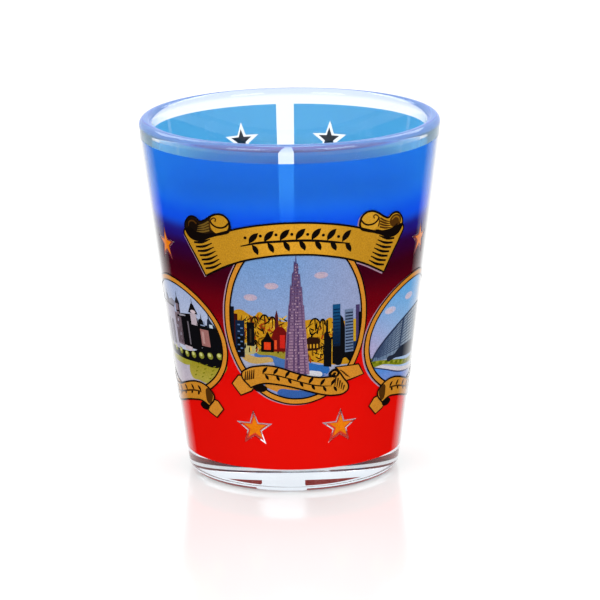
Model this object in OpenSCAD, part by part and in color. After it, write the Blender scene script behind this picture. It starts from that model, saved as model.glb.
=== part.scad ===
// Souvenir shot glass: a pressed glass tumbler with a heavy clear base, and a print fired round its wall.
// The print is built up from separate patches of ink, each a thin film that lies on the wall or on another film.
// The glass stands on z = 0, its axis is +Z, and the middle of the print faces -Y.
// Designs are drawn flat, as [distance round the wall from the design's middle, height above the table].

/* [Glass] */
// Height of the glass
glass_h = 60; // [56:0.5:66]
// Radius of the outer wall, run straight up to the height of the rim
rim_r = 25.1; // [23:0.1:28]
// Radius of the outer wall, run straight down to the table
foot_r = 17.5; // [16:0.1:20]
// Radius of the rounded lip, which is half the wall thickness there
lip_r = 1.1; // [0.9:0.05:1.3]
// Radius of the rounded heel
heel_r = 1.8; // [1:0.1:2.4]
// Thickness of the solid base
base_t = 9.5; // [7:0.5:12]
// Slope of the inner wall from upright, in degrees
inner_slope = 8; // [7.3:0.1:8.6]
// Radius between the inner wall and the floor of the cup
floor_round = 4; // [2:0.5:6]
// Radius of the shallow hollow under the base
punt_r = 12; // [8:0.5:13]
// Depth of the shallow hollow under the base
punt_d = 0.45; // [0.3:0.05:1]

/* [Print] */
// Thickness of one film of ink
ink_t = 0.08; // [0.05:0.01:0.1]
// Height of the print's lower edge
print_low = 4.2; // [3.5:0.1:6]
// Height of the print's upper edge
print_high = 57; // [52:0.5:57]
// Width of the bare seam at the back, in degrees
seam_deg = 7.3; // [4:0.1:10]

/* [Banner] */
// Height of the top of the arched banner
banner_top = 47.1; // [46:0.1:48]
// Height of the banner's lower edge at its middle
banner_low = 41.7; // [41:0.1:43]
// Radius of the banner's upper edge
banner_top_arc = 37; // [34:1:44]
// Radius of the banner's lower edge
banner_low_arc = 29; // [27:1:34]
// Half the length of the banner's lower edge
banner_half = 15.6; // [15:0.1:16]
// Number of hatching strokes at each end of the banner
hatch_count = 7; // [3:1:8]

/* [Medallions] */
// Angle from one medallion to the next
medallion_step = 66.5; // [66:0.1:68]
// Width of a gold oval frame's line
frame_line = 1.2; // [0.8:0.1:1.4]
// Half the width of the middle medallion
main_half_w = 12.2; // [11.5:0.1:12.3]
// Half the height of the middle medallion
main_half_h = 15.3; // [14.5:0.1:15.4]
// Height of the middle medallion's centre
main_z = 31; // [30.5:0.1:31.5]
// Half the width of a side medallion
side_half_w = 12.3; // [11.5:0.1:12.4]
// Half the height of a side medallion
side_half_h = 10.2; // [9.5:0.1:10.5]
// Height of a side medallion's centre
side_z = 25.2; // [25:0.1:26]
// Height of the middle of the main name ribbon
main_ribbon_z = 19.85; // [19.5:0.1:20.2]
// Height of the middle of a side name ribbon
side_ribbon_z = 15.3; // [15:0.1:16]
// Width of a name ribbon's band
ribbon_w = 3.1; // [2.6:0.1:3.4]

/* [Stars] */
// Radius of a star-shaped window in the background
window_r = 3.3; // [3:0.1:3.5]
// Radius of the gold star inside a window
star_r = 2; // [1.5:0.1:2.2]
// Height of the two front stars
front_star_z = 11.3; // [10:0.1:12]
// Angle of each front star from the middle
front_star_deg = 21.7; // [20:0.1:24]
// Height of the two side stars
side_star_z = 40.7; // [40:0.1:42]
// Height of the two back stars
back_star_z = 51; // [50:0.1:52]
// Angle of each back star from the seam
back_star_deg = 19; // [15:0.1:24]

/* [Hidden] */
$fn = 96;
eps = 1;

// The wall is a straight taper, so its radius grows by this much for each millimetre of height
taper = (rim_r - foot_r) / glass_h;
slope = atan(taper);
reach = rim_r + 3;

// Centres of the lip's, the heel's and the floor corner's roundings, as [radius, height]
lip_c = [foot_r + taper * (glass_h - lip_r) - lip_r / cos(slope), glass_h - lip_r];
heel_c = [foot_r + taper * heel_r - heel_r / cos(slope), heel_r];
lip_in = lip_c + lip_r * [-cos(inner_slope), sin(inner_slope)];
corner_z = base_t + floor_round;
corner_r = lip_in[0] - (lip_in[1] - corner_z) * tan(inner_slope) - floor_round / cos(inner_slope);
corner_c = [corner_r, corner_z];
punt_sphere = (punt_r * punt_r + punt_d * punt_d) / (2 * punt_d);

// Angles round the glass, from the middle of the print
left_turn = -medallion_step;
right_turn = medallion_step;
back_left_turn = -2 * medallion_step;
back_right_turn = 2 * medallion_step;
curl_turn = 39;

// Levels of ink: on the glass, on the background, and on a patch of colour
on_glass = 0;
on_background = 1;
on_patch = 2;

// A star's inner points, as a share of its outer ones, and where along a brush stroke it is widest
star_waist = 0.4;
swell_at = 0.3;

// Steps along the round stretches of the flat designs
oval_points = 48;
arch_steps = 16;
wave_steps = 20;

// Banner: where the upper edge ends, the right-hand end below that, and the rolls at each end
banner_shoulder = 13.2;
banner_end = [[15.4, 44], [20.1, 44.4], [19.1, 42.3], [17.8, 40.5], [16.9, 39]];
big_roll_r = 1.7;
big_roll_c = [-3.1, 46.25];
small_roll_r = 1.35;
small_roll_c = [2.9, 45.4];
hatch_first = [[15.4, 38.4], [12.4, 39.7]];
hatch_last = [[17.7, 42.7], [14.4, 43.7]];
hatch_w = 0.36;

// Leaf spray on the banner, in place of a title
spray_half = 7.6;
spray_pairs = 7;
spray_drop = 2.9;
leaf_l = 2.5;
leaf_w = 1.1;
leaf_up = 50;
leaf_down = -60;
lower_leaf = 0.8;

// Name ribbons: one lazy wave, high on the left and low on the right
ribbon_wave = 1.2;
ribbon_wave_len = 11.2;
main_ribbon_half = 9;
side_ribbon_half = 8.3;
main_tails = [
    [[-10.9, 18.9], [-9.7, 20.5], [-8.5, 20.5], [-6.4, 18.9], [-7.4, 17.9], [-9.4, 17]],
    [[7, 21.8], [10.6, 21.9], [11.6, 20], [8.9, 19.4], [7.6, 19]]];
side_tails = [
    [[-9.6, 14], [-8.7, 15.3], [-7.2, 15.6], [-5.4, 14.9], [-6.2, 13], [-7.9, 12.3]],
    [[6.8, 15.8], [8.9, 16.6], [10.2, 15.6], [9.8, 13.8], [8.4, 13.6], [6.8, 13.8]]];
mark_half = 4.8;
mark_count = 7;
mark_l = 1.3;
mark_w = 0.5;
mark_up = 40;
mark_drop = 0.4;

// Middle picture: the needle tower's tiers as [half width, height of its foot], the share of a tier's width left at
// its top, and blocks as [x, width, top]
tier_top = 0.9;
tower_tiers = [[2, 21], [1.75, 25.5], [1.45, 29], [1.1, 33], [0.75, 36], [0.35, 38.3], [0.05, 41]];
skyline_foot = 24;
skyline_blocks = [[-10, 0.9, 32], [-8.6, 1.3, 30], [-6.7, 1.3, 29.6], [-4.6, 1.6, 27], [-2.9, 0.7, 31.4],
    [3.4, 1, 27.4], [5.3, 0.8, 29.4], [6.8, 1.3, 32.9], [9, 1.4, 31.8]];

// Left picture: the palace's blocks as [x, width, top]. Every second block has a dome.
palace_foot = 22;
palace_blocks = [[-4.4, 2.6, 29], [-0.8, 2, 30.4], [2.2, 3.4, 29.4], [5.4, 1.6, 30.2], [8, 2.6, 27.6]];
dome_every = 2;
first_dome = 1;

// Right picture: the hall's long curved roof
hall_foot = 21.8;
hall_left = -10;
hall_half = 14.5;
hall_high = 7.3;
hall_steps = 12;
hall_rise = 1.4;  // above 1, the roof leaves its foot with a gentler swell

// Outer radius of the wall at height z
function wall_r(z) = foot_r + taper * z;

// A flat design's point, bent round the wall and looked at from straight in front
function bent(p) = [wall_r(p[1]) * sin(p[0] / wall_r(p[1]) * 180 / PI), p[1]];
function bent_all(points) = [for (p = points) bent(p)];

// The same outline on the other side of the middle line
function mirrored(points) = [for (i = [len(points) - 1:-1:0]) [-points[i][0], points[i][1]]];

// Value number i of n, evenly spaced from a to b
function between(a, b, i, n) = a + (b - a) * i / (n - 1);

function oval(half_w, half_h, z) = [for (i = [0:oval_points - 1])
    [half_w * cos(360 * i / oval_points), z + half_h * sin(360 * i / oval_points)]];

// Height of an arch of radius r and given top, at distance x from its middle
function arch(top, r, x) = top - r + sqrt(r * r - x * x);

function star(r, z) = [for (i = [0:9]) (i % 2 == 0 ? r : star_waist * r) * [sin(36 * i), cos(36 * i)] + [0, z]];

function wave(z, x) = z - ribbon_wave * sin(180 * x / ribbon_wave_len);

function wavy_band(z, half) = concat(
    [for (i = [0:wave_steps]) let (x = between(-half, half, i, wave_steps + 1)) [x, wave(z, x) + ribbon_w / 2]],
    [for (i = [wave_steps:-1:0]) let (x = between(-half, half, i, wave_steps + 1)) [x, wave(z, x) - ribbon_w / 2]]);

// A slim pointed leaf of length l and width w, which grows from p in direction a
function leaf(p, l, w, a) = [for (q = [[0, 0], [0.3, 0.42], [0.6, 0.5], [0.85, 0.28], [1, 0], [0.7, -0.22],
    [0.35, -0.25]]) p + [q[0] * l * cos(a) - q[1] * w * sin(a), q[0] * l * sin(a) + q[1] * w * cos(a)]];

// A brush stroke from p to q, widest near its start
function stroke(p, q, w) = let (d = (q - p) / norm(q - p), n = [-d[1], d[0]] * w / 2, m = p + (q - p) * swell_at)
    [p, m - n, q, m + n];

// A film of ink round the wall, from angle 0 through turn degrees: level 0 lies on the glass
module ink_film(level, turn = 360) {
    low = level * ink_t / cos(slope);
    high = low + ink_t / cos(slope);
    rotate_extrude(angle = turn)
        polygon([[wall_r(print_low) + low, print_low], [wall_r(print_low) + high, print_low],
            [wall_r(print_high) + high, print_high], [wall_r(print_high) + low, print_high]]);
}

// Pushes a flat outline straight out through the wall, at an angle round the glass
module punch(turn) {
    rotate([0, 0, turn])
        rotate([90, 0, 0])
            linear_extrude(height = reach)
                children();
}

module ink_patch(turn, level) {
    intersection() {
        ink_film(level);
        punch(turn)
            children();
    }
}

// Outlines, looked at from straight in front of their own middle

module banner_outline() {
    tip = [[banner_half, arch(banner_low, banner_low_arc, banner_half)]];
    right_end = concat(banner_end, tip);
    top = [for (i = [0:arch_steps]) let (x = between(-banner_shoulder, banner_shoulder, i, arch_steps + 1))
        [x, arch(banner_top, banner_top_arc, x)]];
    low = [for (i = [arch_steps - 1:-1:1]) let (x = between(-banner_half, banner_half, i, arch_steps + 1))
        [x, arch(banner_low, banner_low_arc, x)]];
    polygon(bent_all(concat(top, right_end, low, mirrored(right_end))));
}

// The rolled-up end of the banner on its right, with the big roll nearer the banner's middle
module curl_outline() {
    translate(big_roll_c)
        circle(r = big_roll_r);
    translate(small_roll_c)
        circle(r = small_roll_r);
    polygon([big_roll_c - [0, big_roll_r], small_roll_c - [0, small_roll_r],
        small_roll_c + [0, small_roll_r], big_roll_c + [0, big_roll_r]]);
}

module main_ribbon_outline() {
    polygon(bent_all(wavy_band(main_ribbon_z, main_ribbon_half)));
}

module main_tails_outline() {
    for (tail = main_tails)
        polygon(bent_all(tail));
}

module side_ribbon_outline() {
    polygon(bent_all(wavy_band(side_ribbon_z, side_ribbon_half)));
}

module side_tails_outline() {
    for (tail = side_tails)
        polygon(bent_all(tail));
}

// What lies over the middle medallion, and so is left bare in it
module over_main() {
    banner_outline();
    main_ribbon_outline();
    main_tails_outline();
}

module over_side() {
    side_ribbon_outline();
    side_tails_outline();
}

module main_oval(inset) {
    polygon(bent_all(oval(main_half_w - inset, main_half_h - inset, main_z)));
}

module side_oval(inset) {
    polygon(bent_all(oval(side_half_w - inset, side_half_h - inset, side_z)));
}

module tower_outline() {
    last = len(tower_tiers) - 1;
    right = [for (i = [0:last - 1]) each [tower_tiers[i], [tower_tiers[i][0] * tier_top, tower_tiers[i + 1][1]]]];
    polygon(bent_all(concat(right, [tower_tiers[last]], mirrored(concat(right, [tower_tiers[last]])))));
}

module block(b, foot) {
    translate([b[0] - b[1] / 2, foot])
        square([b[1], b[2] - foot]);
}

module palace_outline() {
    for (i = [0:len(palace_blocks) - 1]) {
        b = palace_blocks[i];
        block(b, palace_foot);
        if (i % dome_every == first_dome)
            translate([b[0], b[2]])
                circle(r = b[1] / 2);
    }
}

module hall_outline() {
    roof = [for (i = [0:hall_steps]) let (a = 90 * i / hall_steps)
        [hall_left + hall_half * (1 - cos(a)), hall_foot + hall_high * pow(sin(a), hall_rise)]];
    polygon(concat(roof, [[hall_left + hall_half, hall_foot]]));
}

// A medallion on the side of the glass. The ones left of the middle have their ribbon the other way round.
module side_way(turn) {
    mirror([turn < 0 ? 1 : 0, 0])
        children();
}

module side_picture(turn) {
    color("lightsteelblue")
        ink_patch(turn, on_background)
            side_way(turn)
                difference() {
                    side_oval(frame_line);
                    over_side();
                }
}

module side_frame(turn) {
    color("goldenrod")
        ink_patch(turn, on_background)
            side_way(turn)
                difference() {
                    side_oval(0);
                    side_oval(frame_line);
                    over_side();
                }
}

module side_ribbon(turn) {
    color("goldenrod")
        ink_patch(turn, on_background)
            side_way(turn)
                side_ribbon_outline();
}

module side_tails(turn) {
    color("darkgoldenrod")
        ink_patch(turn, on_background)
            side_way(turn)
                difference() {
                    side_tails_outline();
                    side_ribbon_outline();
                }
}

module gold_star(turn, z) {
    color("gold")
        ink_patch(turn, on_glass)
            polygon(star(star_r, z));
}

module glass_profile() {
    difference() {
        union() {
            polygon([[0, 0], [heel_c[0], 0], heel_c + heel_r * [cos(slope), -sin(slope)],
                lip_c + lip_r * [cos(slope), -sin(slope)], lip_c, lip_in, [0, lip_in[1]]]);
            translate(heel_c)
                circle(r = heel_r);
        }
        polygon([[0, base_t], [corner_r, base_t], corner_c + floor_round * [cos(inner_slope), -sin(inner_slope)],
            lip_in, [lip_in[0], glass_h + eps], [0, glass_h + eps]]);
        intersection() {
            translate(corner_c)
                circle(r = floor_round);
            square([rim_r, glass_h]);
        }
    }
    translate(lip_c)
        circle(r = lip_r);
}

// The pieces

module glass_body() {
    color("aliceblue", 0.4)
        difference() {
            rotate_extrude()
                glass_profile();
            translate([0, 0, punt_d - punt_sphere])
                sphere(r = punt_sphere);
        }
}

module background_print() {
    color("mediumblue")
        difference() {
            rotate([0, 0, 90 + seam_deg / 2])
                ink_film(on_glass, 360 - seam_deg);
            for (side = [-1, 1]) {
                punch(side * front_star_deg)
                    polygon(star(window_r, front_star_z));
                punch(side * medallion_step)
                    polygon(star(window_r, side_star_z));
                punch(180 + side * back_star_deg)
                    polygon(star(window_r, back_star_z));
            }
        }
}

module banner_band() {
    color("goldenrod")
        difference() {
            ink_patch(0, on_background)
                banner_outline();
            for (side = [0, 1])
                mirror([side, 0, 0])
                    punch(curl_turn)
                        curl_outline();
        }
}

module banner_left_curl() {
    color("darkgoldenrod")
        mirror([1, 0, 0])
            ink_patch(curl_turn, on_background)
                curl_outline();
}

module banner_right_curl() {
    color("darkgoldenrod")
        ink_patch(curl_turn, on_background)
            curl_outline();
}

module banner_hatching() {
    color("black")
        for (side = [0, 1])
            mirror([side, 0, 0])
                ink_patch(0, on_patch)
                    for (i = [0:hatch_count - 1])
                        polygon(bent_all(stroke(between(hatch_first[0], hatch_last[0], i, hatch_count),
                            between(hatch_first[1], hatch_last[1], i, hatch_count), hatch_w)));
}

module banner_leaf_spray() {
    color("black")
        ink_patch(0, on_patch)
            for (i = [0:spray_pairs - 1]) {
                x = between(-spray_half, spray_half, i, spray_pairs);
                foot = [x, arch(banner_top - spray_drop, banner_top_arc, x)];
                polygon(bent_all(leaf(foot, leaf_l, leaf_w, leaf_up)));
                polygon(bent_all(leaf(foot, leaf_l * lower_leaf, leaf_w, leaf_down)));
            }
}

module main_picture() {
    color("lightsteelblue")
        ink_patch(0, on_background)
            difference() {
                main_oval(frame_line);
                over_main();
            }
}

module main_tower() {
    color("rosybrown")
        ink_patch(0, on_patch)
            difference() {
                tower_outline();
                over_main();
            }
}

module main_skyline() {
    color("darkslateblue")
        ink_patch(0, on_patch)
            intersection() {
                for (b = skyline_blocks)
                    block(b, skyline_foot);
                main_oval(frame_line);
            }
}

module main_frame() {
    color("goldenrod")
        ink_patch(0, on_background)
            difference() {
                main_oval(0);
                main_oval(frame_line);
                over_main();
            }
}

module main_ribbon() {
    color("goldenrod")
        ink_patch(0, on_background)
            main_ribbon_outline();
}

module main_ribbon_tails() {
    color("darkgoldenrod")
        ink_patch(0, on_background)
            difference() {
                main_tails_outline();
                main_ribbon_outline();
            }
}

module main_ribbon_marks() {
    color("black")
        ink_patch(0, on_patch)
            for (i = [0:mark_count - 1]) {
                x = between(-mark_half, mark_half, i, mark_count);
                polygon(bent_all(leaf([x, wave(main_ribbon_z, x) - mark_drop], mark_l, mark_w, mark_up)));
            }
}

module left_picture() {
    side_picture(left_turn);
}

module left_palace() {
    color("dimgray")
        ink_patch(left_turn, on_patch)
            palace_outline();
}

module left_frame() {
    side_frame(left_turn);
}

module left_ribbon() {
    side_ribbon(left_turn);
}

module left_ribbon_tails() {
    side_tails(left_turn);
}

module right_picture() {
    side_picture(right_turn);
}

module right_hall() {
    color("slategray")
        ink_patch(right_turn, on_patch)
            hall_outline();
}

module right_frame() {
    side_frame(right_turn);
}

module right_ribbon() {
    side_ribbon(right_turn);
}

module right_ribbon_tails() {
    side_tails(right_turn);
}

module back_left_picture() {
    side_picture(back_left_turn);
}

module back_left_frame() {
    side_frame(back_left_turn);
}

module back_left_ribbon() {
    side_ribbon(back_left_turn);
}

module back_left_ribbon_tails() {
    side_tails(back_left_turn);
}

module back_right_picture() {
    side_picture(back_right_turn);
}

module back_right_frame() {
    side_frame(back_right_turn);
}

module back_right_ribbon() {
    side_ribbon(back_right_turn);
}

module back_right_ribbon_tails() {
    side_tails(back_right_turn);
}

module front_left_star() {
    gold_star(-front_star_deg, front_star_z);
}

module front_right_star() {
    gold_star(front_star_deg, front_star_z);
}

module side_left_star() {
    gold_star(left_turn, side_star_z);
}

module side_right_star() {
    gold_star(right_turn, side_star_z);
}

module back_left_star() {
    gold_star(back_star_deg - 180, back_star_z);
}

module back_right_star() {
    gold_star(180 - back_star_deg, back_star_z);
}

glass_body();
background_print();
banner_band();
banner_left_curl();
banner_right_curl();
banner_hatching();
banner_leaf_spray();
main_picture();
main_tower();
main_skyline();
main_frame();
main_ribbon();
main_ribbon_tails();
main_ribbon_marks();
left_picture();
left_palace();
left_frame();
left_ribbon();
left_ribbon_tails();
right_picture();
right_hall();
right_frame();
right_ribbon();
right_ribbon_tails();
back_left_picture();
back_left_frame();
back_left_ribbon();
back_left_ribbon_tails();
back_right_picture();
back_right_frame();
back_right_ribbon();
back_right_ribbon_tails();
front_left_star();
front_right_star();
side_left_star();
side_right_star();
back_left_star();
back_right_star();
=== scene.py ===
"""Souvenir shot glass: the looks of the glass and its fired-on print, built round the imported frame.

The glass and each patch of ink are closed meshes. A flat design is drawn in millimetres, as
(distance round the wall from the design's middle, height above the table), and then bent round the
tapered wall.
"""

import math
import random

import bmesh
import bpy
from mathutils import Matrix, Vector


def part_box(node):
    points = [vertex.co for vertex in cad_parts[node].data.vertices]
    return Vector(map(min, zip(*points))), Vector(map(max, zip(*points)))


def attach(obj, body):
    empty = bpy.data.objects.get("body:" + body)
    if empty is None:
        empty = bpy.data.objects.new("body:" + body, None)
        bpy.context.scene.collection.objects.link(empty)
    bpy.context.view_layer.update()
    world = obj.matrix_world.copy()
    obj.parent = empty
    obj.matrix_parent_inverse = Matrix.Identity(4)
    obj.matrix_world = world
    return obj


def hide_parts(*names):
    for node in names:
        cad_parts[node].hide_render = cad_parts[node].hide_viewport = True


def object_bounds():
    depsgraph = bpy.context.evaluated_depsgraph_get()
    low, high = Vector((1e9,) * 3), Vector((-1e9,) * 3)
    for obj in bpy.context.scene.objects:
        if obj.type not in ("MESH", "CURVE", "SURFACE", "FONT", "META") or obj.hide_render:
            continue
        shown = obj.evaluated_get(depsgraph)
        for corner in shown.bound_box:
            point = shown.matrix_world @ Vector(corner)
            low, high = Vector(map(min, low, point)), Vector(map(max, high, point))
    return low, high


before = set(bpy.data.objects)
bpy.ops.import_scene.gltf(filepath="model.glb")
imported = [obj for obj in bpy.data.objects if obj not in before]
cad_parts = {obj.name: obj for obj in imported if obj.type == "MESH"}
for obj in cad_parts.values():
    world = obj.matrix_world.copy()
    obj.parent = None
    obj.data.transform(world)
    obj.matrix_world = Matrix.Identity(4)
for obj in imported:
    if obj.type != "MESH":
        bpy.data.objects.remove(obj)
cad_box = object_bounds()

MM = 0.001
BODY = "root"

# ---------------------------------------------------------------- the glass, measured on the frame

GLASS_H = cad_box[1].z / MM
PRINT_LOW, PRINT_HIGH = (corner.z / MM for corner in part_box("background_print"))
INK_T = 0.08  # thickness of a film in the solids
SEAM_DEG = 7.3  # width of the bare seam at the back
STEP_DEG = 66.5  # from one medallion to the next


def ring_radius(node, height):
    """Largest distance from the axis, in mm, of a CAD node's points at a height in mm."""
    points = [v.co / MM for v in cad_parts[node].data.vertices]
    return max(math.hypot(p.x, p.y) for p in points if abs(p.z - height) < 0.05)


LOW_R = ring_radius("background_print", PRINT_LOW) - INK_T
HIGH_R = ring_radius("background_print", PRINT_HIGH) - INK_T
TAPER = (HIGH_R - LOW_R) / (PRINT_HIGH - PRINT_LOW)
SLOPE = math.atan(TAPER)


def wall_r(height):
    """Outer radius of the glass wall, in mm."""
    return LOW_R + TAPER * (height - PRINT_LOW)


# ---------------------------------------------------------------- colours and materials


def ink(red, green, blue):
    """A colour given on a 0 to 255 scale, as the linear values that shaders take."""
    def linear(value):
        share = value / 255
        return share / 12.92 if share <= 0.04045 else ((share + 0.055) / 1.055) ** 2.4
    return (linear(red), linear(green), linear(blue), 1.0)


def grey(share):
    """A neutral colour, by its share of white."""
    return (share, share, share, 1.0)


def new_material(name):
    """A material with its nodes, its links and its main shader."""
    material = bpy.data.materials.new(name)
    material.use_nodes = True
    nodes = material.node_tree.nodes
    return material, nodes, material.node_tree.links, nodes["Principled BSDF"]


def shader_node(nodes, kind, **inputs):
    """Adds a shader node and sets its inputs, which are written with _ for a space."""
    node = nodes.new("ShaderNode" + kind)
    for name, value in inputs.items():
        node.inputs[name.replace("_", " ")].default_value = value
    return node


def vector_step(nodes, links, operation, first, second):
    """A vector worked out from a socket and a second socket or constant."""
    step = nodes.new("ShaderNodeVectorMath")
    step.operation = operation
    links.new(first, step.inputs[0])
    if isinstance(second, tuple):
        step.inputs[1].default_value = second
    elif second is not None:
        links.new(second, step.inputs[1])
    return step


def mix_shaders(nodes, links, share, first, second):
    """Two shaders mixed by a socket's share of the second."""
    mix = nodes.new("ShaderNodeMixShader")
    links.new(share, mix.inputs["Fac"])
    links.new(first, mix.inputs[1])
    links.new(second, mix.inputs[2])
    return mix.outputs[0]


def mix_colours(nodes, links, share, first, second):
    """Two colours mixed by a socket's share of the second. The first may be a constant."""
    mix = nodes.new("ShaderNodeMix")
    mix.data_type = "RGBA"
    links.new(share, mix.inputs["Factor"])
    if isinstance(first, tuple):
        mix.inputs["A"].default_value = first
    else:
        links.new(first, mix.inputs["A"])
    links.new(second, mix.inputs["B"])
    return mix.outputs["Result"]


def height_ramp(nodes, links, stops):
    """Colour by height above the table. stops are (height in mm, colour)."""
    place = nodes.new("ShaderNodeTexCoord")
    parts = nodes.new("ShaderNodeSeparateXYZ")
    share = shader_node(nodes, "MapRange", From_Min=0.0, From_Max=GLASS_H * MM)
    ramp = nodes.new("ShaderNodeValToRGB")
    ramp.color_ramp.interpolation = "EASE"
    while len(ramp.color_ramp.elements) > 1:
        ramp.color_ramp.elements.remove(ramp.color_ramp.elements[0])
    first = ramp.color_ramp.elements[0]
    first.position = stops[0][0] / GLASS_H
    first.color = stops[0][1]
    for height, colour in stops[1:]:
        ramp.color_ramp.elements.new(height / GLASS_H).color = colour
    links.new(place.outputs["Object"], parts.inputs[0])
    links.new(parts.outputs["Z"], share.inputs["Value"])
    links.new(share.outputs["Result"], ramp.inputs["Fac"])
    return ramp.outputs["Color"]


def outer_side(nodes, links):
    """1 on the faces that look away from the glass's axis, and 0 on those that look towards it."""
    place = nodes.new("ShaderNodeTexCoord")
    facing = vector_step(
        nodes, links, "DOT_PRODUCT", place.outputs["Object"], place.outputs["Normal"])
    outside = nodes.new("ShaderNodeMath")
    outside.operation = "GREATER_THAN"
    outside.inputs[1].default_value = 0.0
    links.new(facing.outputs["Value"], outside.inputs[0])
    return outside.outputs[0]


def wall_normal(nodes, links):
    """The way the glass's wall faces at a place, so that the edges of a patch shine as its middle does."""
    place = nodes.new("ShaderNodeTexCoord")
    outwards = vector_step(nodes, links, "MULTIPLY", place.outputs["Object"], (1, 1, 0))
    level = vector_step(nodes, links, "NORMALIZE", outwards.outputs[0], None)
    tilted = vector_step(nodes, links, "ADD", level.outputs[0], (0, 0, -TAPER))
    return vector_step(nodes, links, "NORMALIZE", tilted.outputs[0], None).outputs[0]


GLASS_IOR = 1.52
GLOSS_STARTS, GLOSS_FULL = 0.15, 0.55  # the reflected shares between which the gloss comes in
GLOSS_LEAST = 0.001
GLOSS_ROUGHNESS = 0.05


def glaze(nodes, links, shader, output, outside=None):
    """Gloss that shows mostly where a face turns away, over a shader's own colour.

    outside limits it to the faces where that socket is 1.
    """
    shader.inputs["Specular IOR Level"].default_value = 0.0
    turn_away = shader_node(nodes, "Fresnel", IOR=GLASS_IOR)
    share = shader_node(nodes, "MapRange", From_Min=GLOSS_STARTS, From_Max=GLOSS_FULL,
                        To_Min=GLOSS_LEAST)
    gloss = shader_node(nodes, "BsdfGlossy", Roughness=GLOSS_ROUGHNESS)
    limited = nodes.new("ShaderNodeMath")
    limited.operation = "MULTIPLY"
    limited.inputs[1].default_value = 1.0
    links.new(wall_normal(nodes, links), turn_away.inputs["Normal"])
    links.new(turn_away.outputs[0], share.inputs["Value"])
    links.new(share.outputs["Result"], limited.inputs[0])
    if outside:
        links.new(outside, limited.inputs[1])
    glazed = mix_shaders(nodes, links, limited.outputs[0], output, gloss.outputs[0])
    links.new(glazed, nodes["Material Output"].inputs["Surface"])


def clear_glass():
    """Clear glass with a faint cold cast. Its lip has a pale blue diffuse colour mixed in: painted light,
    for the blue film's light that gathers there.
    """
    material, nodes, links, shader = new_material("clear_glass")
    shader.inputs["Base Color"].default_value = (0.87, 0.93, 1.0, 1.0)
    shader.inputs["Roughness"].default_value = 0.0
    shader.inputs["IOR"].default_value = GLASS_IOR
    shader.inputs["Transmission Weight"].default_value = 1.0
    # Painted light: a pale blue diffuse colour in the lip, for the film's light that the glass carries up
    # to it
    glow = shader_node(nodes, "BsdfDiffuse", Color=ink(140, 170, 255))
    lip = height_ramp(nodes, links, [(58.7, grey(0.0)), (59.4, grey(0.33))])
    surface = mix_shaders(nodes, links, lip, shader.outputs[0], glow.outputs[0])
    links.new(surface, nodes["Material Output"].inputs["Surface"])
    return material


def background_ink():
    """Blended inks: blue at the top, through purple and maroon, to red at the bottom.

    They are partly see-through at the top and partly cloudy. The inner side, which shows in the mouth, is
    painted brighter: painted light for the backlight that comes through the film.
    """
    material, nodes, links, shader = new_material("background_ink")
    outer = height_ramp(nodes, links, [
        (16, ink(214, 12, 6)), (22, ink(208, 9, 6)), (27, ink(156, 3, 7)), (32, ink(104, 1, 14)),
        (38, ink(60, 0, 20)), (41.5, ink(46, 2, 50)), (44, ink(34, 22, 120)), (46.5, ink(10, 76, 245)),
        (50, ink(0, 100, 255))])
    # Painted light: the inner side's colours are lighter than the outer ones, for the backlight through the
    # film
    inner = height_ramp(nodes, links, [
        (20, ink(240, 30, 20)), (28, ink(190, 14, 30)), (35, ink(110, 6, 40)), (41, ink(84, 20, 110)),
        (46, ink(80, 170, 255)), (50, ink(142, 246, 255))])
    through = height_ramp(nodes, links, [
        (16, ink(250, 120, 100)), (22, ink(248, 100, 90)), (30, ink(200, 60, 90)), (37, ink(166, 50, 90)),
        (41, ink(150, 70, 160)), (43.5, ink(120, 120, 230)), (46, ink(124, 204, 255)),
        (50, ink(152, 220, 255))])
    cloudy = height_ramp(nodes, links, [(24, grey(0.12)), (46, grey(0.34)), (52, grey(0.5))])
    open_share = height_ramp(nodes, links, [
        (22, grey(0.08)), (32, grey(0.16)), (42, grey(0.2)), (48, grey(0.28)), (53, grey(0.5))])
    side = outer_side(nodes, links)
    links.new(mix_colours(nodes, links, side, inner, outer), shader.inputs["Base Color"])
    shader.inputs["Roughness"].default_value = 0.16
    glow = nodes.new("ShaderNodeBsdfTranslucent")
    clear = nodes.new("ShaderNodeBsdfTransparent")
    links.new(through, glow.inputs["Color"])
    links.new(through, clear.inputs["Color"])
    body = mix_shaders(nodes, links, cloudy, shader.outputs[0], glow.outputs[0])
    film = mix_shaders(nodes, links, open_share, body, clear.outputs[0])
    glaze(nodes, links, shader, film, side)
    return material


INK_DEPTH = 0.58  # the share of its painted brightness that fired ink keeps
GRAIN = 0.10  # how far the grain lightens and darkens it
FINE_GRAIN, SLOW_GRAIN = 5200, 900  # noise scales


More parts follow.
